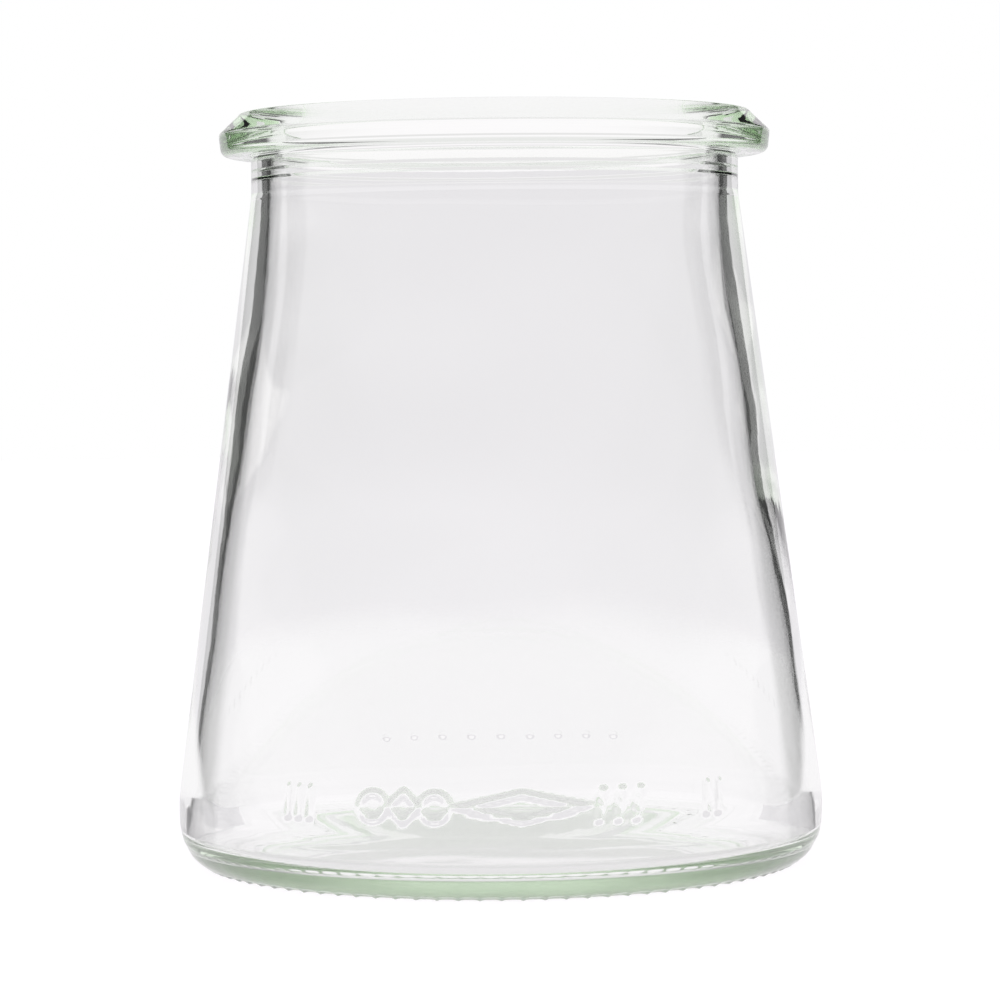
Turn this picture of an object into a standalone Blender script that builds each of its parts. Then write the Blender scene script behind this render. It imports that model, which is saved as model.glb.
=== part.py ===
"""An open preserving jar of pressed and blown glass, flared towards its foot.

Metres, +Z up. The origin is at the centre of the ring the jar stands on. The jar is one piece of glass:
a turned wall with a sealing land, a chamfer and a bead at its mouth, a short neck, a long cone,
a rounded heel, a mould ring, and below it a foot curve with flutes scooped round its lower edge.
"""

import math

import bmesh
import bpy
from mathutils import Matrix

# Overall stack, from the surface that the jar stands on to the top of its lip
FOOT_HEIGHT = 0.00185
MOULD_RING_HEIGHT = 0.0011
HEEL_LOWER_HEIGHT = 0.0039
HEEL_UPPER_HEIGHT = 0.00132
CONE_HEIGHT = 0.07208
SHOULDER_HEIGHT = 0.001
NECK_HEIGHT = 0.0048
BEAD_HEIGHT = 0.0027
CHAMFER_HEIGHT = 0.0022
LIP_CROWN_HEIGHT = 0.00025

# Outer radii
NECK_RADIUS = 0.02965
HEEL_RADIUS = 0.03937

# Bead round the mouth, reaching out from the neck
BEAD_REACH = 0.00385
BEAD_EDGE_ROUND = 0.0002
BEAD_DRAFT = 0.00015
BEAD_LOWER_ROUND = 0.00095
BEAD_ROOT_FILLET = 0.0004

# Lip above the bead
CHAMFER_RUN = 0.00237
LIP_CROWN_RUN = 0.00038
LIP_INNER_ROUND = 0.0008

# Wall, thickest at the shoulder, and the bore with its two small steps inside the neck
BORE_WALL = 0.00245
SHOULDER_WALL = 0.0024
LOWER_WALL = 0.0020
BORE_STEP = 0.00012
BORE_STEP_HEIGHT = 0.0003
UPPER_STEP_DROP = 0.0068
STEP_SPACING = 0.001

# How far the cone's top stands out from the neck
SHOULDER_BULGE = 0.00013

# Heel: how far its upper round reaches from the corner of cone and heel, and where its lower curve turns in
HEEL_ROUND_REACH = 0.0015
HEEL_STRAIGHT = 0.00265
MOULD_RING_SETBACK = 0.00049
MOULD_RING_STEP = 0.00008

# Foot curve from under the mould ring to the bearing ring, drawn in towards one corner
FOOT_TOP_SETBACK = 0.0005
FOOT_CORNER_SETBACK = 0.0006
FOOT_CORNER_HEIGHT = 0.00072
FOOT_RUN = 0.0021

# The flat ring that the jar stands on, and the base pushed up a little inside it
BEARING_WIDTH = 0.0022
PUSH_UP_RIM_WIDTH = 0.0016
PUSH_UP_RIM_HEIGHT = 0.0003
PUSH_UP_HEIGHT = 0.0009

# Glass under the middle of the inside's floor, the floor's dip there, and the round to the wall
FLOOR_THICKNESS = 0.0017
FLOOR_DIP = 0.0002
FLOOR_CORNER_ROUND = 0.0019

# Flutes round the bearing ring's edge: the lift is how far a flute's middle line lies outside their chord
FLUTE_COUNT = 92
FLUTE_RIDGE = 0.00035
FLUTE_DEPTH = 0.00006
FLUTE_LIFT = 0.00022
FLUTE_TOP_HEIGHT = 0.0006
FLUTE_LAND_REACH = 0.0008
FLUTE_SIDES = 8
FLUTE_RINGS = 5

# Facets of the turned wall: one for each flute, so that every flute is cut alike
WALL_SEGMENTS = FLUTE_COUNT
MERGE_DISTANCE = 0.00001

GLASS_COLOUR = (0.90, 0.96, 0.92, 1.0)
GLASS_ROUGHNESS = 0.02
GLASS_IOR = 1.52


def stack_up():
    """Heights above the standing surface, from the foot to the lip."""
    levels = {}
    height = 0.0
    for name, step in (
        ("foot_top", FOOT_HEIGHT),
        ("mould_ring", MOULD_RING_HEIGHT),
        ("heel", HEEL_LOWER_HEIGHT),
        ("cone_foot", HEEL_UPPER_HEIGHT),
        ("cone_top", CONE_HEIGHT),
        ("neck_foot", SHOULDER_HEIGHT),
        ("bead_foot", NECK_HEIGHT),
        ("bead_top", BEAD_HEIGHT),
        ("crown_foot", CHAMFER_HEIGHT),
        ("lip", LIP_CROWN_HEIGHT),
    ):
        height += step
        levels[name] = height
    return levels


LEVEL = stack_up()
CONE_TOP_RADIUS = NECK_RADIUS + SHOULDER_BULGE
BEAD_RADIUS = NECK_RADIUS + BEAD_REACH
BORE_RADIUS = NECK_RADIUS - BORE_WALL
MOULD_RING_RADIUS = HEEL_RADIUS - MOULD_RING_SETBACK
FOOT_TOP_RADIUS = MOULD_RING_RADIUS - MOULD_RING_STEP - FOOT_TOP_SETBACK
FOOT_CORNER_RADIUS = FOOT_TOP_RADIUS - FOOT_CORNER_SETBACK
BEARING_RADIUS = FOOT_TOP_RADIUS - FOOT_RUN
BEARING_INNER_RADIUS = BEARING_RADIUS - BEARING_WIDTH
FLOOR_HEIGHT = PUSH_UP_HEIGHT + FLOOR_THICKNESS + FLOOR_DIP
FOOT_CURVE = (
    (FOOT_TOP_RADIUS, LEVEL["foot_top"]),
    (FOOT_CORNER_RADIUS, FOOT_CORNER_HEIGHT),
    (BEARING_RADIUS, 0.0),
)


def arc(centre, radii, start, end, steps):
    """Points on an ellipse's arc in the (radius, height) plane, both ends included; angles in degrees."""
    points = []
    for index in range(steps + 1):
        angle = math.radians(start + (end - start) * index / steps)
        points.append((centre[0] + radii[0] * math.cos(angle), centre[1] + radii[1] * math.sin(angle)))
    return points


def curve_point(start, corner, end, share):
    """A point on the curve that leaves start towards the corner and reaches end coming from it."""
    rest = 1.0 - share
    return tuple(
        rest * rest * start[axis] + 2.0 * share * rest * corner[axis] + share * share * end[axis]
        for axis in range(2)
    )


def curve(start, corner, end, steps):
    """Points on such a curve, both ends included."""
    return [curve_point(start, corner, end, index / steps) for index in range(steps + 1)]


def towards(start, aim, reach):
    """The point that lies reach away from start in the direction of aim."""
    share = reach / math.dist(start, aim)
    return tuple(start[axis] + (aim[axis] - start[axis]) * share for axis in range(2))


def cone_radius(share):
    """Outer radius of the cone, at a share of the way up from its corner with the heel."""
    return HEEL_RADIUS + (CONE_TOP_RADIUS - HEEL_RADIUS) * share


def wall_thickness(share):
    """The blown wall thins smoothly from the shoulder down to the heel."""
    ease = share * share * (3.0 - 2.0 * share)
    return LOWER_WALL + (SHOULDER_WALL - LOWER_WALL) * ease


def inner_profile():
    """From the middle of the floor outwards, up the wall and through the bore to the lip."""
    corner_share = (FLOOR_HEIGHT + FLOOR_CORNER_ROUND - LEVEL["cone_foot"]) / CONE_HEIGHT
    wall_foot = cone_radius(corner_share) - wall_thickness(corner_share)
    corner = (wall_foot - FLOOR_CORNER_ROUND, FLOOR_HEIGHT + FLOOR_CORNER_ROUND)
    points = []
    for floor_share in (0.0, 0.4, 0.7):
        ease = floor_share * floor_share * (3.0 - 2.0 * floor_share)
        points.append((corner[0] * floor_share, FLOOR_HEIGHT - FLOOR_DIP * (1.0 - ease)))
    points += arc(corner, (FLOOR_CORNER_ROUND, FLOOR_CORNER_ROUND), -90.0, 0.0, 4)
    wall_shares = (0.3, 0.5, 0.7, 0.85, 1.0)
    for wall_share in wall_shares:
        height = LEVEL["cone_foot"] + CONE_HEIGHT * wall_share
        points.append((cone_radius(wall_share) - wall_thickness(wall_share), height))
    upper_step = LEVEL["lip"] - UPPER_STEP_DROP
    lower_step = upper_step - STEP_SPACING
    for step_height, radius in ((lower_step, BORE_RADIUS + BORE_STEP), (upper_step, BORE_RADIUS)):
        points.append((radius + BORE_STEP, step_height - BORE_STEP_HEIGHT))
        points.append((radius, step_height))
    lip_centre = (BORE_RADIUS + LIP_INNER_ROUND, LEVEL["lip"] - LIP_INNER_ROUND)
    points += arc(lip_centre, (LIP_INNER_ROUND, LIP_INNER_ROUND), 180.0, 90.0, 2)
    return points


def heel_points():
    """The heel: a round where the cone ends, its widest ring, and the curve in to the mould ring."""
    corner = (HEEL_RADIUS, LEVEL["cone_foot"])
    upper = towards(corner, (CONE_TOP_RADIUS, LEVEL["cone_top"]), HEEL_ROUND_REACH)
    lower = (HEEL_RADIUS, LEVEL["cone_foot"] - HEEL_ROUND_REACH)
    turn_in = (HEEL_RADIUS, LEVEL["heel"] - HEEL_STRAIGHT)
    ring = (MOULD_RING_RADIUS, LEVEL["mould_ring"])
    return curve(upper, corner, lower, 3) + curve(lower, turn_in, ring, 4)[1:]


def outer_profile():
    """From the lip's outer crown down the outside to the middle of the pushed-up base."""
    crown_foot_radius = BEAD_RADIUS - CHAMFER_RUN
    crown_centre = (crown_foot_radius - LIP_CROWN_RUN, LEVEL["crown_foot"])
    points = arc(crown_centre, (LIP_CROWN_RUN, LIP_CROWN_HEIGHT), 90.0, 20.0, 2)
    points += [
        (BEAD_RADIUS - BEAD_EDGE_ROUND, LEVEL["bead_top"] + BEAD_EDGE_ROUND),
        (BEAD_RADIUS, LEVEL["bead_top"] - BEAD_EDGE_ROUND),
    ]
    bead_centre = (BEAD_RADIUS - BEAD_DRAFT - BEAD_LOWER_ROUND, LEVEL["bead_foot"] + BEAD_LOWER_ROUND)
    points += arc(bead_centre, (BEAD_LOWER_ROUND, BEAD_LOWER_ROUND), 0.0, -90.0, 2)
    points += [
        (NECK_RADIUS + BEAD_ROOT_FILLET, LEVEL["bead_foot"]),
        (NECK_RADIUS, LEVEL["bead_foot"] - BEAD_ROOT_FILLET),
        (NECK_RADIUS, LEVEL["neck_foot"]),
        (CONE_TOP_RADIUS, LEVEL["cone_top"]),
    ]
    points += heel_points()
    points += [(MOULD_RING_RADIUS - MOULD_RING_STEP, LEVEL["mould_ring"] - MOULD_RING_STEP)]
    points += curve(*FOOT_CURVE, 3)
    points += [(BEARING_INNER_RADIUS, 0.0)]
    dome_radius = BEARING_INNER_RADIUS - PUSH_UP_RIM_WIDTH
    dome_rise = PUSH_UP_HEIGHT - PUSH_UP_RIM_HEIGHT
    points += arc((0.0, PUSH_UP_RIM_HEIGHT), (dome_radius, dome_rise), 0.0, 90.0, 3)
    return points


def add_object(name, mesh, collection):
    """A new object for a mesh, in a collection."""
    made = bpy.data.objects.new(name, mesh)
    collection.objects.link(made)
    return made


def turned_wall(name, collection):
    """The jar's closed section, turned once round the upright axis."""
    points = inner_profile() + outer_profile()
    mesh = bpy.data.meshes.new(name)
    edges = [(index, index + 1) for index in range(len(points) - 1)]
    mesh.from_pydata([(radius, 0.0, height) for radius, height in points], edges, [])
    jar = add_object(name, mesh, collection)
    screw = jar.modifiers.new("turn", "SCREW")
    screw.axis = "Z"
    screw.steps = WALL_SEGMENTS
    screw.render_steps = WALL_SEGMENTS
    screw.use_merge_vertices = True
    screw.merge_threshold = MERGE_DISTANCE
    return jar


def foot_share(height):
    """The share of the foot curve, from its top, at which it comes down to a height."""
    start, corner = FOOT_CURVE[0][1], FOOT_CURVE[1][1]
    bend = start - 2.0 * corner
    return (start - corner - math.sqrt((start - corner) ** 2 - bend * (start - height))) / bend


def flute_cutters(name, collection):
    """A ring of long flat ellipsoids that scoop the edge of the bearing ring, inside it and up the foot."""
    upper_share = foot_share(FLUTE_TOP_HEIGHT)
    upper = curve_point(*FOOT_CURVE, upper_share)
    lower = (BEARING_RADIUS - FLUTE_LAND_REACH, 0.0)
    slope = math.atan2(upper[1] - lower[1], upper[0] - lower[0])
    outward = (math.sin(slope), -math.cos(slope))
    middle = ((upper[0] + lower[0]) / 2, (upper[1] + lower[1]) / 2)
    centre = (middle[0] + FLUTE_LIFT * outward[0], middle[1] + FLUTE_LIFT * outward[1])
    half_thickness = FLUTE_DEPTH + FLUTE_LIFT
    half_chord_share = math.sqrt(1.0 - (FLUTE_LIFT / half_thickness) ** 2)
    half_length = math.dist(upper, lower) / 2 / half_chord_share
    facet_radius = middle[0] * math.cos(math.pi / FLUTE_COUNT)
    pitch = 2.0 * facet_radius * math.tan(math.pi / FLUTE_COUNT)
    half_width = (pitch - FLUTE_RIDGE) / 2

    place = Matrix.Translation((centre[0], 0.0, centre[1]))
    tilt = Matrix.Rotation(math.pi / 2 - slope, 4, "Y")
    stretch = Matrix.Diagonal((half_thickness, half_width, half_length, 1.0))
    spin = Matrix.Rotation(math.pi / FLUTE_SIDES, 4, "Z")
    scoop = place @ tilt @ stretch @ spin
    cage = bmesh.new()
    for index in range(FLUTE_COUNT):
        turn = Matrix.Rotation(2.0 * math.pi * (index + 0.5) / FLUTE_COUNT, 4, "Z")
        bmesh.ops.create_uvsphere(
            cage, u_segments=FLUTE_SIDES, v_segments=FLUTE_RINGS, radius=1.0, matrix=turn @ scoop
        )
    mesh = bpy.data.meshes.new(name)
    cage.to_mesh(mesh)
    cage.free()
    mesh.shade_smooth()
    cutter = add_object(name, mesh, collection)
    cutter.hide_render = True
    cutter.display_type = "WIRE"
    return cutter


def glass():
    """Clear glass with the faint green of soda-lime."""
    material = bpy.data.materials.new("clear_glass")
    material.use_nodes = True
    shader = material.node_tree.nodes["Principled BSDF"]
    shader.inputs["Base Color"].default_value = GLASS_COLOUR
    shader.inputs["Roughness"].default_value = GLASS_ROUGHNESS
    shader.inputs["Metallic"].default_value = 0.0
    shader.inputs["Transmission Weight"].default_value = 1.0
    shader.inputs["IOR"].default_value = GLASS_IOR
    return material


def new_collection(name):
    """A collection under the scene's own."""
    made = bpy.data.collections.new(name)
    bpy.context.scene.collection.children.link(made)
    return made


def clear_scene():
    """Remove every object that the new file holds."""
    for old in list(bpy.data.objects):
        bpy.data.objects.remove(old, do_unlink=True)


def build():
    """Turn the jar and cut its flutes."""
    clear_scene()
    parts = new_collection("preserving_jar")
    cutters = new_collection("cutters")
    jar = turned_wall("glass_jar", parts)
    cut = jar.modifiers.new("flutes", "BOOLEAN")
    cut.operation = "DIFFERENCE"
    cut.solver = "EXACT"
    cut.object = flute_cutters("flute_cutters", cutters)
    shade = jar.modifiers.new("even_shading", "WEIGHTED_NORMAL")
    shade.mode = "FACE_AREA_WITH_ANGLE"
    jar.data.materials.append(glass())


build()
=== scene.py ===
"""Looks of the preserving jar: its glass, a plain studio and the photograph's camera.

The jar is one mesh of rings. Each ring is a circle of points round the upright axis, and the rings run
from the middle of the inside's floor up the wall, over the lip, down the outside and under the base.
Sizes are in millimetres, and named angles in degrees unless a comment says radians. Levels are heights
above the standing surface.
"""

import math

import bpy
import numpy as np
from mathutils import Matrix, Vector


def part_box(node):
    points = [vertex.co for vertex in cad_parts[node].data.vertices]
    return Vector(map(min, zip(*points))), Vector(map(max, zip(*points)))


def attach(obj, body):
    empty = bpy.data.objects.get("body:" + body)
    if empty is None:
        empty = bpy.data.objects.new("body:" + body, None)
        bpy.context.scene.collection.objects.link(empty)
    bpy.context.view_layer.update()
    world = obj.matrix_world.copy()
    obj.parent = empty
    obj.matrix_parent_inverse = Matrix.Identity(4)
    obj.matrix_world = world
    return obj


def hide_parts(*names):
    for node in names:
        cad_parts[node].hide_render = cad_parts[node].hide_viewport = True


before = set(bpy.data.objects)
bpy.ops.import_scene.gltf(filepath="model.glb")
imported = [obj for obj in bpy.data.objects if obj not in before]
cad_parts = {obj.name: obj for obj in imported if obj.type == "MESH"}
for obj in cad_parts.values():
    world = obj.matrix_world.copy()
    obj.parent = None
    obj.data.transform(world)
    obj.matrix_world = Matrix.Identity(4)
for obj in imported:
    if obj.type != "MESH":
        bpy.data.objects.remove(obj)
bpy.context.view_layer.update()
jar_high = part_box("glass_jar")[1]

MM = 0.001
NODE = "glass_jar"
WHITE = (1.0, 1.0, 1.0, 1.0)

# Sizes that the frame gives
JAR_HEIGHT = jar_high.z / MM
HEEL_RADIUS = jar_high.x / MM

# Levels of the outside's corners
HEEL_LEVEL = 6.85
CONE_FOOT_LEVEL = 10.05
CONE_TOP_LEVEL = 80.25
NECK_FOOT_LEVEL = 81.25
BEAD_FOOT_LEVEL = 86.05
BEAD_TOP_LEVEL = 88.75
CROWN_FOOT_LEVEL = 90.95

# Radii of the outside's corners
CONE_FOOT_RADIUS = HEEL_RADIUS - 0.25
CONE_TOP_RADIUS = 29.78
NECK_RADIUS = 29.65
BEAD_FOOT_RADIUS = 33.35
BEAD_RADIUS = 33.5
CROWN_FOOT_RADIUS = 31.13
LAND_OUTER_RADIUS = 30.75

# Foot: the mould ring and its small step, the bevel and the flat bearing ring
MOULD_RING_RADIUS = 38.88
MOULD_RING_LEVEL = 2.95
MOULD_RING_STEP = 0.08
RING_EDGE_WIDTH = 0.04
RING_EDGE_DROPS = (0.05, 0.09, 0.16)
BEVEL_TOP_RADIUS = 38.3
BEVEL_TOP_LEVEL = 1.85
BEVEL_CORNER_RADIUS = 37.7
BEVEL_CORNER_LEVEL = 0.72
BEARING_RADIUS = 36.2
BEARING_WIDTH = 2.2
BEARING_INNER_RADIUS = BEARING_RADIUS - BEARING_WIDTH

# Rounds outside, by how far from the corner each one starts; under the bead it is a true radius
BEAD_EDGE_ROUND = 0.2
BEAD_LOWER_ROUND = 0.95
BEAD_ROOT_ROUND = 0.45
SHOULDER_ROUND = 0.4
HEEL_ROUND = 1.5
BASE_EDGE_ROUND = 0.4

# Angle where the crown's arc stops, a level on the wall that the shoulder's round turns to, and the level
# of the corner that the heel's curve bends towards
CROWN_ARC_END = 20.0
SHOULDER_AIM_LEVEL = 70.0
HEEL_CURVE_LEVEL = 4.2

# Inside: two small steps narrow the bore upwards, and the floor dips a little in its middle
BORE_RADIUS = 27.2
BORE_STEP = 0.12
BORE_STEP_RISE = 0.3
UPPER_STEP_LEVEL = JAR_HEIGHT - 6.8
LOWER_STEP_LEVEL = UPPER_STEP_LEVEL - 1.0
LIP_INNER_ROUND = 0.8
FLOOR_LEVEL = 2.8
FLOOR_DIP = 0.2
FLOOR_CORNER_ROUND = 1.9

# Thickness of the wall up the jar, and glass added at its right and left, as (level, thickness) stations
WALL_STATIONS = ((8.0, 1.8), (25.0, 1.9), (42.0, 2.05), (62.0, 2.4), (80.8, 2.28))
RIGHT_EXTRA = (
    (8.0, -0.1),
    (26.0, -0.2),
    (38.0, 0.05),
    (46.5, 0.35),
    (53.0, 0.2),
    (61.0, 0.15),
    (70.0, 0.3),
    (79.0, 0.3),
)
LEFT_EXTRA = ((20.0, 0.0), (42.0, 0.05), (54.0, 0.2), (63.0, 0.3), (74.0, 0.3), (80.0, 0.2))

# How far round the jar the added glass reaches, in radians, and the stretches where it sets in and dies away
RIGHT_WIDTH = 0.5
LEFT_WIDTH = 0.9
EXTRA_FOOT = (FLOOR_LEVEL + 0.5, 9.0)
EXTRA_TOP = (77.0, CONE_TOP_LEVEL)

# Slight waves up the wall, which bend and come and go round the jar; their phases are in radians
WALL_WAVE = 0.03
WALL_WAVE_LENGTH = 3.1
WALL_WAVE_LOBES = 5
WALL_WAVE_PHASE = 0.7
WALL_BEND = 2.0
WALL_BEND_LOBES = 2
WALL_BEND_PHASE = 1.0

# Slight waves of the floor, each as (length, how far its crests bend, length of the bends)
FLOOR_WAVE = 0.02
FLOOR_WAVE_ACROSS = (2.3, 0.6, 3.1)
FLOOR_WAVE_ALONG = (1.9, 0.8, 4.0)
FLOOR_WAVE_END = (32.0, 36.0)
FLOOR_WAVE_CEILING = 9.0

# Base pushed up inside the bearing ring
PUSH_UP_RIM_WIDTH = 1.6
PUSH_UP_RIM_HEIGHT = 0.6
PUSH_UP_HEIGHT = 0.9

# Flutes scooped round the edge of the bearing ring; a hollow above 1 makes their ridges narrow
FLUTE_COUNT = 92
FLUTE_DEPTH = 0.20
FLUTE_TOP_LEVEL = 0.6
FLUTE_FULL_LEVEL = FLUTE_TOP_LEVEL * 0.35
FLUTE_INNER_RADIUS = 35.3
FLUTE_FULL_RADIUS = FLUTE_INNER_RADIUS + 0.8
FLUTE_HOLLOW = 1.6

# Moulded marks low on the wall, raised from it; plain shapes only
MARK_RELIEF = 0.18
MARK_STROKE = 0.5
MARK_STROKE_TOP = 0.12
MARK_LEVEL = 11.0
MARK_HALF_HEIGHT = 1.7
MARKS_BAND = (8.6, 13.4)
MARKS_BAND_BLUR = 0.4

# Bars as (middle, lean), rings by their middles, and lozenges as (middle, half width, half height);
# the middles are places round the front, positive to the right
BARS = (
    (-26.5, 0.0),
    (-24.9, 0.0),
    (-23.3, 0.0),
    (11.6, 0.8),
    (13.9, 0.8),
    (16.2, 0.8),
    (25.6, 0.5),
    (27.4, 0.5),
)
RING_MARKS = (-15.0, -7.6)
RING_MARK_RADIUS = MARK_HALF_HEIGHT - 0.2
LOZENGES = ((-11.3, 1.7, MARK_HALF_HEIGHT), (2.4, 6.6, 1.5))

# Row of dots on the back
DOT_RADIUS = 0.75
DOT_TOP_RADIUS = 0.1
DOT_RELIEF = 0.3
DOT_LEVEL = 11.6
DOT_SPACING = 4.0
DOT_COUNT = 9

# Points round a ring: fine on the outer wall and the foot, coarse on the inside, rim and underside
COARSE = FLUTE_COUNT * 4
FINE = FLUTE_COUNT * 8

# Rows of the mesh: how many the long stretches have, and how far from a corner or an edge the next ones
# lie. The rows close to a crease keep the shading beside it flat.
FLOOR_ROWS = 12
INNER_WALL_ROWS = 28
OUTER_WALL_ROWS = 6
PUSH_UP_ROWS = 8
MARKS_ROW_HEIGHT = 0.26
INNER_SHOULDER_ROWS = (0.9, 0.7, 0.5)
BORE_FOOT_ROW = 0.3
BORE_STEP_ROW = 0.08
BORE_ROW = 0.8
LAND_ROW = 0.4
BEAD_SIDE_ROW = 0.6
BEAD_SIDE_DRAFT = 0.02
BEAD_UNDER_ROW = 0.3
NECK_TOP_ROW = 0.8
NECK_FOOT_ROW = 0.6
OUTER_SHOULDER_ROWS = (0.6, 0.8, 1.0)
OUTER_WALL_TOP_ROW = 2.0
MARKS_TOP_ROW = 0.3
BEARING_ROWS = (0.35, 1.75)

# Glass: clear, faintly green where it is thick, with a faint ripple that is drawn out upwards
GLASS_IOR = 1.52
GLASS_TINT = (0.567, 0.875, 0.45, 1.0)
GLASS_ABSORPTION = 7.5
RIPPLE_DRAW = (1.0, 1.0, 0.4)
RIPPLE_SCALE = 500.0
RIPPLE_DETAIL = 2.0
RIPPLE_DEPTH = 0.004

# Matt underside: it sets in and is full this far inside the bearing ring, and ends this far above the base
MATT_ROUGHNESS = 0.22
MATT_EDGE = (0.2, 1.2)
MATT_MARGIN = 0.3

# Tent round the jar: colours by the upward part of a ray's direction, from -1 to 1
TENT_GREY = (0.80, 0.78, 0.81)
TENT_HIGH_GREY = (0.80, 0.79, 0.80)
TENT_WHITE = (1.0, 0.975, 1.0)
TENT_STOPS = (
    (-0.10, (0.91, 0.89, 0.92)),
    (0.02, TENT_GREY),
    (0.0490, TENT_GREY),
    (0.0500, TENT_WHITE),
    (0.120, TENT_WHITE),
    (0.135, TENT_HIGH_GREY),
    (0.200, TENT_HIGH_GREY),
    (0.220, TENT_WHITE),
    (0.28, TENT_WHITE),
    (0.42, (0.82, 0.82, 0.82)),
)

# Dark flags behind the jar. Their inner edge goes from the first angle off +Y to the second between two
# elevations, and leans inwards as it goes up. Their outer edge and their top are soft between two angles.
FLAG_COLOUR = (0.06, 0.06, 0.06, 1.0)
FLAG_INNER = (31.0, 28.0)
FLAG_INNER_ELEVATIONS = (2.5, 5.5)
FLAG_LEAN = 28.0
FLAG_INNER_BLUR = 1.2
FLAG_OUTER = (58.0, 52.0)
FLAG_TOP = (42.0, 34.0)

# Table: a glow goes from its first strength at the first radius to its second at the second. To all rays but
# the camera's it holds a painted shadow under the jar and a painted falloff of light round it, dimmer
# further out.
TABLE_RADIUS = 1600.0
TABLE_SIDES = 96
TABLE_DROP = 0.05
PAPER_COLOUR = (0.16, 0.16, 0.16, 1.0)
GLOW_COLOUR = (0.98, 0.96, 0.985, 1.0)
SEEN_GLOW = 0.96
# Painted shadow under the jar's base: the glow that the glass sees is lower there
PAINTED_SHADOW_RADII = (33.5, 37.0)
PAINTED_SHADOW_GLOW = (0.78, 1.0)
# Painted falloff of light: the glow that the glass sees dims from near the jar's foot outwards
PAINTED_FALLOFF_RADII = (40.0, 75.0)
PAINTED_FALLOFF_GLOW = (0.90, 0.84)
TABLE_FADE_RADII = (300.0, 600.0)

# Camera, from fitting the jar's rings to the photograph; its turns are in radians
FOCAL_PIXELS = 3728.0
PHOTO_SIDE = 1000.0
SENSOR = 36.0
CAMERA_DISTANCE = 456.3
CAMERA_HEIGHT = 63.6
CAMERA_DOWN = 0.043
CAMERA_ROLL = 0.010
CAMERA_PAN_PIXELS = 2.2
CAMERA_NEAR = 10.0
CAMERA_FAR = 20000.0

# Light that is led along inside the thick base needs more turns than Blender's default
LIGHT_BOUNCES = 40


def smooth_step(low, high, value):
    """0 at low, 1 at high, smooth between and level beyond; low may be the greater of the two."""
    share = np.clip((value - low) / (high - low), 0.0, 1.0)
    return share * share * (3.0 - 2.0 * share)


def turn_from(angle, middle):
    """How far an angle is past a middle one, from half a turn back to half a turn on, in radians."""
    return (angle - middle + math.pi) % (2 * math.pi) - math.pi


def line(start, end, steps):
    """Points from start up to but not including end."""
    shares = np.arange(steps) / steps
    return [(start[0] + (end[0] - start[0]) * s, start[1] + (end[1] - start[1]) * s) for s in shares]


def arc(centre, radii, start, end, steps):
    """Points on an arc in the (radius, level) plane, both ends included; angles in degrees."""
    angles = np.radians(np.linspace(start, end, steps + 1))
    return [(centre[0] + radii[0] * math.cos(a), centre[1] + radii[1] * math.sin(a)) for a in angles]


def curve(start, corner, end, steps):
    """Points on a curve that leaves start and reaches end in line with the corner, both ends included."""
    start, corner, end = (np.array(p, float) for p in (start, corner, end))
    shares = np.linspace(0.0, 1.0, steps + 1)
    return [tuple((1 - s) ** 2 * start + 2 * s * (1 - s) * corner + s**2 * end) for s in shares]


def rounded(corner, before, after, reach, steps):
    """Points that round a corner between the ways to two neighbours, starting reach away from it."""
    corner, before, after = (np.array(p, float) for p in (corner, before, after))
    start = corner + (before - corner) / np.linalg.norm(before - corner) * reach
    end = corner + (after - corner) / np.linalg.norm(after - corner) * reach
    return curve(start, corner, end, steps)


def cone_radius(level):
    """Radius of the flared wall outside."""
    share = (level - CONE_FOOT_LEVEL) / (CONE_TOP_LEVEL - CONE_FOOT_LEVEL)
    return CONE_FOOT_RADIUS + (CONE_TOP_RADIUS - CONE_FOOT_RADIUS) * share


def between(stations, level):
    """Value at a level, eased from each (level, value) station to the next."""
    value = stations[0][1]
    for (low, low_value), (high, high_value) in zip(stations[:-1], stations[1:]):
        value = value + (high_value - low_value) * smooth_step(low, high, level)
    return value


def inner_wall(level):
    """Radius of the flared wall inside, before its unevenness."""
    return cone_radius(level) - between(WALL_STATIONS, level)


def near(angle, middle, width):
    """1 at the middle angle, falling to nothing beyond the width on both sides; angles in radians."""
    return np.exp(-((turn_from(angle, middle) / width) ** 2))


def uneven_wall(level, angle):
    """Glass added inside the even wall, most of it at the jar's right and left, with slight waves."""
    on_right = between(RIGHT_EXTRA, level) * near(angle, 0.0, RIGHT_WIDTH)
    on_left = between(LEFT_EXTRA, level) * near(angle, math.pi, LEFT_WIDTH)
    bend = WALL_BEND * np.sin(angle * WALL_BEND_LOBES + WALL_BEND_PHASE)
    strength = np.sin(angle * WALL_WAVE_LOBES + WALL_WAVE_PHASE)
    wave = WALL_WAVE * np.sin(level / WALL_WAVE_LENGTH + bend) * strength
    above_floor = smooth_step(*EXTRA_FOOT, level)
    below_bore = 1.0 - smooth_step(*EXTRA_TOP, level)
    return (on_right + on_left + wave) * above_floor * below_bore


def bent_wave(along, across, length, bend, bend_length):
    """Waves that follow each other along one way, with crests that bend to and fro across it."""
    return np.sin(along / length + bend * np.sin(across / bend_length))


def uneven_floor(radius, level, angle):
    """Slight waves of the inside's floor, as pressed and blown glass has them."""
    x = radius * np.cos(angle)
    y = radius * np.sin(angle)
    waves = bent_wave(x, y, *FLOOR_WAVE_ACROSS) + bent_wave(y, x, *FLOOR_WAVE_ALONG)
    on_floor = (1.0 - smooth_step(*FLOOR_WAVE_END, radius)) * (level < FLOOR_WAVE_CEILING)
    return FLOOR_WAVE * waves * on_floor


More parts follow.
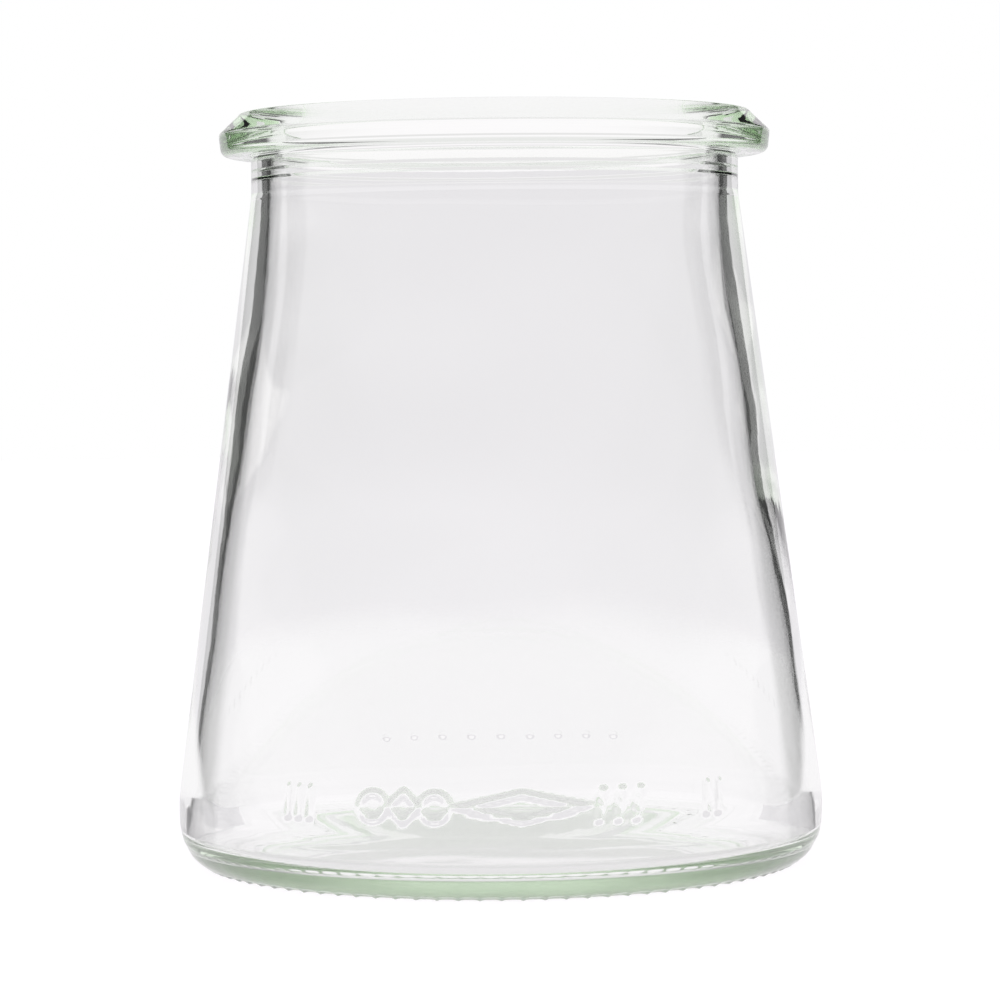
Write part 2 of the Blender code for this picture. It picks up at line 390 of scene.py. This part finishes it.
def inside_points():
    """From beside the floor's middle outwards, up the wall and the bore to the lip's land."""
    corner_level = FLOOR_LEVEL + FLOOR_CORNER_ROUND
    corner_centre = (inner_wall(corner_level) - FLOOR_CORNER_ROUND, corner_level)
    points = []
    for share in np.arange(1, FLOOR_ROWS) / FLOOR_ROWS:
        dip = FLOOR_DIP * (1 - smooth_step(0.0, 1.0, share))
        points.append((corner_centre[0] * share, FLOOR_LEVEL - dip))
    points += arc(corner_centre, (FLOOR_CORNER_ROUND, FLOOR_CORNER_ROUND), -90.0, 0.0, steps=9)
    wall_top, *close_rows = (NECK_FOOT_LEVEL - drop for drop in INNER_SHOULDER_ROWS)
    wall_rows = np.linspace(corner_level, wall_top, INNER_WALL_ROWS)[1:]
    points += [(inner_wall(level), level) for level in (*wall_rows, *close_rows)]
    radius = BORE_RADIUS + 2 * BORE_STEP
    points += [(radius, NECK_FOOT_LEVEL), (radius, NECK_FOOT_LEVEL + BORE_FOOT_ROW)]
    for level in (LOWER_STEP_LEVEL, UPPER_STEP_LEVEL):
        points += [(radius, level - BORE_STEP_RISE - BORE_STEP_ROW), (radius, level - BORE_STEP_RISE)]
        radius -= BORE_STEP
        points += [(radius, level), (radius, level + BORE_STEP_ROW)]
    lip_centre = (BORE_RADIUS + LIP_INNER_ROUND, JAR_HEIGHT - LIP_INNER_ROUND)
    points += line((BORE_RADIUS, UPPER_STEP_LEVEL + BORE_ROW), (BORE_RADIUS, lip_centre[1]), steps=4)
    points += arc(lip_centre, (LIP_INNER_ROUND, LIP_INNER_ROUND), 180.0, 90.0, steps=7)
    return points


def rim_points():
    """From the lip's land over the chamfer and the bead and down the neck to the shoulder."""
    crown = (CROWN_FOOT_RADIUS, CROWN_FOOT_LEVEL)
    crown_centre = (LAND_OUTER_RADIUS, CROWN_FOOT_LEVEL)
    crown_radii = (CROWN_FOOT_RADIUS - LAND_OUTER_RADIUS, JAR_HEIGHT - CROWN_FOOT_LEVEL)
    bead_top = (BEAD_RADIUS, BEAD_TOP_LEVEL)
    bead_centre = (BEAD_FOOT_RADIUS - BEAD_LOWER_ROUND, BEAD_FOOT_LEVEL + BEAD_LOWER_ROUND)
    root = (NECK_RADIUS, BEAD_FOOT_LEVEL)
    shoulder = (NECK_RADIUS, NECK_FOOT_LEVEL)
    aim = (cone_radius(SHOULDER_AIM_LEVEL), SHOULDER_AIM_LEVEL)

    land_start = (BORE_RADIUS + LIP_INNER_ROUND + LAND_ROW, JAR_HEIGHT)
    points = line(land_start, (LAND_OUTER_RADIUS, JAR_HEIGHT), steps=4)
    points += arc(crown_centre, crown_radii, 90.0, CROWN_ARC_END, steps=6)
    points += line(points[-1], bead_top, steps=5)[1:]
    points += rounded(bead_top, crown, (BEAD_RADIUS, BEAD_FOOT_LEVEL), BEAD_EDGE_ROUND, steps=4)
    side_start = (BEAD_RADIUS - BEAD_SIDE_DRAFT, BEAD_TOP_LEVEL - BEAD_SIDE_ROW)
    points += line(side_start, (BEAD_FOOT_RADIUS, bead_centre[1]), steps=3)
    points += arc(bead_centre, (BEAD_LOWER_ROUND, BEAD_LOWER_ROUND), 0.0, -90.0, steps=8)
    under_start = (bead_centre[0] - BEAD_UNDER_ROW, BEAD_FOOT_LEVEL)
    points += line(under_start, (NECK_RADIUS + BEAD_ROOT_ROUND, BEAD_FOOT_LEVEL), steps=4)
    points += rounded(root, bead_centre, shoulder, BEAD_ROOT_ROUND, steps=5)
    neck_end = (NECK_RADIUS, NECK_FOOT_LEVEL + NECK_FOOT_ROW)
    points += line((NECK_RADIUS, BEAD_FOOT_LEVEL - NECK_TOP_ROW), neck_end, steps=4)
    points += [neck_end]
    points += rounded(shoulder, neck_end, aim, SHOULDER_ROUND, steps=5)
    return points


def wall_points():
    """Down the flared wall from the shoulder to the marks."""
    close_rows = [NECK_FOOT_LEVEL - drop for drop in OUTER_SHOULDER_ROWS]
    wall_foot = MARKS_BAND[1] + MARKS_TOP_ROW
    wall_rows = np.linspace(CONE_TOP_LEVEL - OUTER_WALL_TOP_ROW, wall_foot, OUTER_WALL_ROWS)
    return [(cone_radius(level), level) for level in (*close_rows, *wall_rows)]


def foot_points():
    """From the top of the marks' band down the heel and the bevel and across the bearing ring."""
    marks_rows = np.arange(MARKS_BAND[1], CONE_FOOT_LEVEL, -MARKS_ROW_HEIGHT)
    points = [(cone_radius(level), level) for level in marks_rows]
    heel_out = HEEL_RADIUS - CONE_FOOT_RADIUS
    cone_height = CONE_TOP_LEVEL - CONE_FOOT_LEVEL
    cone_width = CONE_FOOT_RADIUS - CONE_TOP_RADIUS
    corner = (HEEL_RADIUS, CONE_FOOT_LEVEL - heel_out * cone_height / cone_width)
    heel = (HEEL_RADIUS, HEEL_LEVEL)
    points += rounded(corner, (CONE_FOOT_RADIUS, CONE_FOOT_LEVEL), heel, HEEL_ROUND, steps=12)
    mould_ring = (MOULD_RING_RADIUS, MOULD_RING_LEVEL)
    points += curve(heel, (HEEL_RADIUS, HEEL_CURVE_LEVEL), mould_ring, steps=9)[1:]

    edge_level, step_level, foot_level = (MOULD_RING_LEVEL - drop for drop in RING_EDGE_DROPS)
    step_radius = MOULD_RING_RADIUS - MOULD_RING_STEP
    points += [(MOULD_RING_RADIUS - RING_EDGE_WIDTH, edge_level), (step_radius, step_level)]
    bevel_top = (BEVEL_TOP_RADIUS, BEVEL_TOP_LEVEL)
    points += line((step_radius - RING_EDGE_WIDTH, foot_level), bevel_top, steps=2)
    bevel_corner = (BEVEL_CORNER_RADIUS, BEVEL_CORNER_LEVEL)
    points += curve(bevel_top, bevel_corner, (BEARING_RADIUS, 0.0), steps=13)
    first_row, last_row = (BEARING_RADIUS - inwards for inwards in BEARING_ROWS)
    points += line((first_row, 0.0), (last_row, 0.0), steps=3)
    return points


def under_points():
    """From the bearing ring in under the pushed-up base, to beside the middle."""
    edge = (BEARING_INNER_RADIUS, 0.0)
    dome_foot = (BEARING_INNER_RADIUS - PUSH_UP_RIM_WIDTH, PUSH_UP_RIM_HEIGHT)
    dome_rise = PUSH_UP_HEIGHT - PUSH_UP_RIM_HEIGHT
    points = rounded(edge, (BEARING_RADIUS, 0.0), dome_foot, BASE_EDGE_ROUND, steps=4)
    points += line(points[-1], dome_foot, steps=3)[1:]
    for share in 1.0 - np.arange(PUSH_UP_ROWS) / PUSH_UP_ROWS:
        points.append((dome_foot[0] * share, PUSH_UP_RIM_HEIGHT + dome_rise * (1 - share**2)))
    return points


def flute_depths(profile):
    """How far in the scoops go at each point of the profile, square to it, as (radius, level) offsets."""
    points = np.array(profile)
    along = np.gradient(points, axis=0)
    along /= np.linalg.norm(along, axis=1)[:, None]
    inward = np.stack([along[:, 1], -along[:, 0]], -1)
    low = smooth_step(FLUTE_TOP_LEVEL, FLUTE_FULL_LEVEL, points[:, 1])
    far_out = smooth_step(FLUTE_INNER_RADIUS, FLUTE_FULL_RADIUS, points[:, 0])
    return (FLUTE_DEPTH * low * far_out)[:, None] * inward


def flutes_across(angle):
    """0 on the ridges between the scoops, 1 at the bottom of a scoop."""
    across = np.abs(np.sin(FLUTE_COUNT * angle / 2.0))
    return 1.0 - (1.0 - across) ** FLUTE_HOLLOW


def bar(across, level, middle, lean):
    """Distance from an upright bar whose top leans over by lean."""
    foot = np.array([middle - lean / 2, MARK_LEVEL - MARK_HALF_HEIGHT])
    way = np.array([lean, 2 * MARK_HALF_HEIGHT])
    share = ((across - foot[0]) * way[0] + (level - foot[1]) * way[1]) / (way @ way)
    share = np.clip(share, 0.0, 1.0)
    return np.hypot(across - foot[0] - way[0] * share, level - foot[1] - way[1] * share)


def ring_mark(across, level, middle):
    """Distance from a ring's line."""
    return np.abs(np.hypot(across - middle, level - MARK_LEVEL) - RING_MARK_RADIUS)


def lozenge(across, level, middle, half_width, half_height):
    """Distance from a lozenge's line, near enough."""
    reach = np.abs(across - middle) / half_width + np.abs(level - MARK_LEVEL) / half_height
    return np.abs(reach - 1.0) * half_width * half_height / math.hypot(half_width, half_height)


def marks(level, angle):
    """How far the moulded marks stand out: bars, rings and lozenges in front, a row of dots behind."""
    across = turn_from(angle, -math.pi / 2) * HEEL_RADIUS
    distances = [bar(across, level, *place) for place in BARS]
    distances += [ring_mark(across, level, middle) for middle in RING_MARKS]
    distances += [lozenge(across, level, *place) for place in LOZENGES]
    raised = smooth_step(MARK_STROKE, MARK_STROKE_TOP, np.minimum.reduce(distances))
    back = turn_from(angle, math.pi / 2) * HEEL_RADIUS
    last = (DOT_COUNT - 1) / 2
    nearest = np.clip(np.round(back / DOT_SPACING), -last, last) * DOT_SPACING
    dots = smooth_step(DOT_RADIUS, DOT_TOP_RADIUS, np.hypot(back - nearest, level - DOT_LEVEL))
    in_band = smooth_step(MARKS_BAND[0] - MARKS_BAND_BLUR, MARKS_BAND[0], level)
    return in_band * np.maximum(MARK_RELIEF * raised, DOT_RELIEF * dots)


def plain_rings(profile, count):
    """Radius, level and angle of the points of even rings, one ring for each profile point."""
    radius, level = np.array(profile).T[:, :, None]
    angle = np.arange(count) * 2 * math.pi / count
    return np.broadcast_arrays(radius, level, angle)


def inside_rings(profile, count):
    """Rings of the inside, with the uneven wall and floor."""
    radius, level, angle = plain_rings(profile, count)
    radius = radius - uneven_wall(level, angle)
    return radius, level + uneven_floor(radius, level, angle), angle


def moulded_rings(profile, count):
    """Rings of the outside, with the marks and the flutes; nothing stands out past the heel."""
    radius, level, angle = plain_rings(profile, count)
    scoop = flute_depths(profile)[:, None, :] * flutes_across(angle)[:, :, None]
    radius = np.minimum(radius + scoop[..., 0] + marks(level, angle), HEEL_RADIUS)
    return radius, level + scoop[..., 1], angle


def join_rings(first_a, count_a, first_b, count_b):
    """Faces between neighbouring rings with the given first vertices; counts are equal or two to one."""
    if count_a > count_b:
        return [face[::-1] for face in join_rings(first_b, count_b, first_a, count_a)]
    faces = []
    for i in range(count_a):
        k = (i + 1) % count_a
        if count_a == count_b:
            faces.append((first_a + i, first_a + k, first_b + k, first_b + i))
            continue
        low, middle, high = 2 * i, 2 * i + 1, 2 * k
        faces.append((first_a + i, first_b + middle, first_b + low))
        faces.append((first_a + i, first_a + k, first_b + middle))
        faces.append((first_a + k, first_b + high, first_b + middle))
    return faces


def jar_mesh(name):
    """The whole jar as one closed mesh."""
    blocks = (
        (inside_rings, inside_points(), COARSE),
        (plain_rings, rim_points(), COARSE),
        (moulded_rings, wall_points(), FINE),
        (moulded_rings, foot_points(), FINE),
        (plain_rings, under_points(), COARSE),
    )
    vertices = [[(0.0, 0.0, FLOOR_LEVEL - FLOOR_DIP)]]
    rings = []
    first = 1
    for make_rings, profile, count in blocks:
        radius, level, angle = make_rings(profile, count)
        block = np.stack([radius * np.cos(angle), radius * np.sin(angle), level], -1)
        vertices.append(block.reshape(-1, 3))
        for _ in profile:
            rings.append((first, count))
            first += count
    vertices.append([(0.0, 0.0, PUSH_UP_HEIGHT)])

    start, count = rings[0]
    faces = [(0, start + i, start + (i + 1) % count) for i in range(count)]
    for ring, next_ring in zip(rings[:-1], rings[1:]):
        faces += join_rings(*next_ring, *ring)
    start, count = rings[-1]
    faces += [(first, start + (i + 1) % count, start + i) for i in range(count)]

    mesh = bpy.data.meshes.new(name)
    mesh.from_pydata((np.concatenate(vertices) * MM).tolist(), [], faces)
    mesh.validate()
    mesh.shade_smooth()
    return mesh


def feed(tree, socket, value):
    """Link a socket to another node's output, or set it to a plain value."""
    if isinstance(value, bpy.types.NodeSocket):
        tree.links.new(value, socket)
    else:
        socket.default_value = value


def add_node(tree, kind, inputs=None, **settings):
    """A new node with the given settings, and with its inputs fed by name or number."""
    node = tree.nodes.new(kind)
    for name, setting in settings.items():
        setattr(node, name, setting)
    for key, value in (inputs or {}).items():
        feed(tree, node.inputs[key], value)
    return node


def math_node(tree, operation, *values, clamp=False):
    """Output of a Math node; each value is a number or another node's output."""
    node = add_node(tree, "ShaderNodeMath", dict(enumerate(values)), operation=operation, use_clamp=clamp)
    return node.outputs[0]


def vector_node(tree, operation, *values):
    """Outputs of a Vector Math node; each value is a vector or another node's output."""
    return add_node(tree, "ShaderNodeVectorMath", dict(enumerate(values)), operation=operation).outputs


def range_node(tree, value, limits, results=(0.0, 1.0), interpolation="SMOOTHSTEP"):
    """Output that goes from the first result to the second as the value goes from limit to limit."""
    names = ("From Min", "From Max", "To Min", "To Max")
    inputs = {"Value": value, **dict(zip(names, (*limits, *results)))}
    node = add_node(tree, "ShaderNodeMapRange", inputs, interpolation_type=interpolation)
    return node.outputs["Result"]


def glass_material():
    """The jar's glass; only the underside inside the bearing ring is matt."""
    material = bpy.data.materials.new("clear_jar_glass")
    material.use_nodes = True
    tree = material.node_tree
    place = add_node(tree, "ShaderNodeTexCoord").outputs["Object"]
    level = add_node(tree, "ShaderNodeSeparateXYZ", {0: place}).outputs["Z"]
    flat = vector_node(tree, "MULTIPLY", place, (1.0, 1.0, 0.0))[0]
    radius = vector_node(tree, "LENGTH", flat)["Value"]
    edge = [(BEARING_INNER_RADIUS - inwards) * MM for inwards in MATT_EDGE]
    inside_ring = range_node(tree, radius, edge, interpolation="LINEAR")
    underneath = math_node(tree, "LESS_THAN", level, (PUSH_UP_HEIGHT + MATT_MARGIN) * MM)
    matt = math_node(tree, "MULTIPLY", inside_ring, underneath)

    drawn = vector_node(tree, "MULTIPLY", place, RIPPLE_DRAW)[0]
    noise = {"Vector": drawn, "Scale": RIPPLE_SCALE, "Detail": RIPPLE_DETAIL}
    ripple = add_node(tree, "ShaderNodeTexNoise", noise).outputs[0]
    relief = {"Strength": 1.0, "Distance": RIPPLE_DEPTH * MM, "Height": ripple}
    bump = add_node(tree, "ShaderNodeBump", relief)

    shader = tree.nodes["Principled BSDF"]
    shader.inputs["Base Color"].default_value = WHITE
    shader.inputs["Transmission Weight"].default_value = 1.0
    shader.inputs["IOR"].default_value = GLASS_IOR
    feed(tree, shader.inputs["Roughness"], math_node(tree, "MULTIPLY", matt, MATT_ROUGHNESS))
    feed(tree, shader.inputs["Normal"], bump.outputs["Normal"])
    green = {"Color": GLASS_TINT, "Density": GLASS_ABSORPTION}
    absorb = add_node(tree, "ShaderNodeVolumeAbsorption", green)
    feed(tree, tree.nodes["Material Output"].inputs["Volume"], absorb.outputs["Volume"])
    return material


def flags(tree, off_axis, up):
    """1 on the dark flags and 0 off them, by the angle off +Y to either side and the elevation's sine."""
    elevations = [math.sin(math.radians(a)) for a in FLAG_INNER_ELEVATIONS]
    limit = range_node(tree, up, elevations, [math.radians(a) for a in FLAG_INNER])
    lean = math_node(tree, "MULTIPLY", math_node(tree, "MAXIMUM", up, 0.0), math.radians(FLAG_LEAN))
    past_limit = math_node(tree, "SUBTRACT", math_node(tree, "ADD", off_axis, lean), limit)
    blur = math.radians(FLAG_INNER_BLUR)
    inner = range_node(tree, past_limit, (-blur, blur))
    outer = range_node(tree, off_axis, [math.radians(a) for a in FLAG_OUTER])
    top = range_node(tree, up, [math.sin(math.radians(a)) for a in FLAG_TOP])
    return math_node(tree, "MULTIPLY", math_node(tree, "MULTIPLY", inner, outer), top)


def tent_colour(tree, up):
    """The tent's colour by height."""
    height = range_node(tree, up, (-1.0, 1.0), interpolation="LINEAR")
    ramp = add_node(tree, "ShaderNodeValToRGB", {"Fac": height})
    while len(ramp.color_ramp.elements) < len(TENT_STOPS):
        ramp.color_ramp.elements.new(0.5)
    for element, (stop, colour) in zip(ramp.color_ramp.elements, TENT_STOPS):
        element.position = (stop + 1.0) / 2.0
        element.color = (*colour, 1.0)
    return ramp.outputs["Color"]


def make_world():
    """White to the camera and a pale tent to all else; the glass sees the dark flags too."""
    world = bpy.data.worlds.new("studio")
    bpy.context.scene.world = world
    world.use_nodes = True
    tree = world.node_tree
    tree.nodes.clear()
    ray = add_node(tree, "ShaderNodeTexCoord").outputs["Generated"]
    way = add_node(tree, "ShaderNodeSeparateXYZ", {0: ray}).outputs
    off_axis = math_node(tree, "ABSOLUTE", math_node(tree, "ARCTAN2", way["X"], way["Y"]))
    rays = add_node(tree, "ShaderNodeLightPath").outputs
    by_glass = math_node(tree, "MAXIMUM", rays["Is Transmission Ray"], rays["Is Glossy Ray"])
    dark = math_node(tree, "MULTIPLY", flags(tree, off_axis, way["Z"]), by_glass)
    colours = {"Factor": dark, "A": tent_colour(tree, way["Z"]), "B": FLAG_COLOUR}
    tint = add_node(tree, "ShaderNodeMix", colours, data_type="RGBA").outputs["Result"]
    tent = add_node(tree, "ShaderNodeBackground", {"Color": tint}).outputs[0]
    white = add_node(tree, "ShaderNodeBackground", {"Color": WHITE}).outputs[0]
    seen = add_node(tree, "ShaderNodeMixShader", {0: rays["Is Camera Ray"], 1: tent, 2: white}).outputs[0]
    add_node(tree, "ShaderNodeOutputWorld", {"Surface": seen})


def table_material():
    """Pale paper that glows; to all rays but the camera's its glow holds a painted shadow under the jar and
    a painted falloff of light round it, and it fades far out.
    """
    material = bpy.data.materials.new("table_white")
    material.use_nodes = True
    tree = material.node_tree
    tree.nodes.clear()
    by_camera = add_node(tree, "ShaderNodeLightPath").outputs["Is Camera Ray"]
    place = add_node(tree, "ShaderNodeNewGeometry").outputs["Position"]
    away = vector_node(tree, "LENGTH", place)["Value"]
    # Painted shadow: the glow is lower under the jar's base, for all rays but the camera's
    under = range_node(tree, away, [r * MM for r in PAINTED_SHADOW_RADII], PAINTED_SHADOW_GLOW)
    # Painted falloff of light: the glow dims from near the jar outwards, for all rays but the camera's
    beyond = range_node(tree, away, [r * MM for r in PAINTED_FALLOFF_RADII], PAINTED_FALLOFF_GLOW)
    glow_with_painted_shade = math_node(tree, "MULTIPLY", under, beyond)
    strengths = {"Factor": by_camera, "A": glow_with_painted_shade, "B": SEEN_GLOW}
    strength = add_node(tree, "ShaderNodeMix", strengths).outputs["Result"]
    glow = add_node(tree, "ShaderNodeEmission", {"Color": GLOW_COLOUR, "Strength": strength}).outputs[0]
    paper = add_node(tree, "ShaderNodeBsdfDiffuse", {"Color": PAPER_COLOUR}).outputs[0]
    surface = add_node(tree, "ShaderNodeAddShader", {0: paper, 1: glow}).outputs[0]
    far = range_node(tree, away, [r * MM for r in TABLE_FADE_RADII])
    faded = math_node(tree, "SUBTRACT", far, by_camera, clamp=True)
    clear = add_node(tree, "ShaderNodeBsdfTransparent").outputs[0]
    seen = add_node(tree, "ShaderNodeMixShader", {0: faded, 1: surface, 2: clear}).outputs[0]
    add_node(tree, "ShaderNodeOutputMaterial", {"Surface": seen})
    return material


def make_table():
    """A pale round table top, just below the standing surface."""
    mesh = bpy.data.meshes.new("table_top")
    turns = [2 * math.pi * i / TABLE_SIDES for i in range(TABLE_SIDES)]
    edge = [(TABLE_RADIUS * MM * math.cos(a), TABLE_RADIUS * MM * math.sin(a), 0.0) for a in turns]
    mesh.from_pydata(edge, [], [tuple(range(TABLE_SIDES))])
    mesh.materials.append(table_material())
    floor = bpy.data.objects.new("table_top", mesh)
    bpy.context.scene.collection.objects.link(floor)
    floor.location.z = -TABLE_DROP * MM


def make_camera():
    """The photograph's camera, in front of the jar and above its middle, looking slightly down."""
    data = bpy.data.cameras.new("photo_camera")
    data.sensor_width = SENSOR
    data.lens = FOCAL_PIXELS * SENSOR / PHOTO_SIDE
    data.clip_start = CAMERA_NEAR * MM
    data.clip_end = CAMERA_FAR * MM
    camera = bpy.data.objects.new("photo_camera", data)
    bpy.context.scene.collection.objects.link(camera)
    camera.location = (0.0, -CAMERA_DISTANCE * MM, CAMERA_HEIGHT * MM)
    pan = CAMERA_PAN_PIXELS / FOCAL_PIXELS
    turn = Matrix.Rotation(-pan, 4, "Z") @ Matrix.Rotation(math.pi / 2 - CAMERA_DOWN, 4, "X")
    turn = turn @ Matrix.Rotation(-CAMERA_ROLL, 4, "Z")
    camera.rotation_euler = turn.to_euler()
    bpy.context.scene.camera = camera


make_camera()
make_world()
make_table()
jar = bpy.data.objects.new("moulded_glass", jar_mesh("moulded_glass"))
bpy.context.scene.collection.objects.link(jar)
jar.data.materials.append(glass_material())
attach(jar, "root")
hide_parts(NODE)

bpy.context.scene.view_settings.view_transform = "Standard"
cycles = bpy.context.scene.cycles
cycles.max_bounces = LIGHT_BOUNCES
cycles.transmission_bounces = LIGHT_BOUNCES
cycles.glossy_bounces = LIGHT_BOUNCES

bpy.context.view_layer.update()
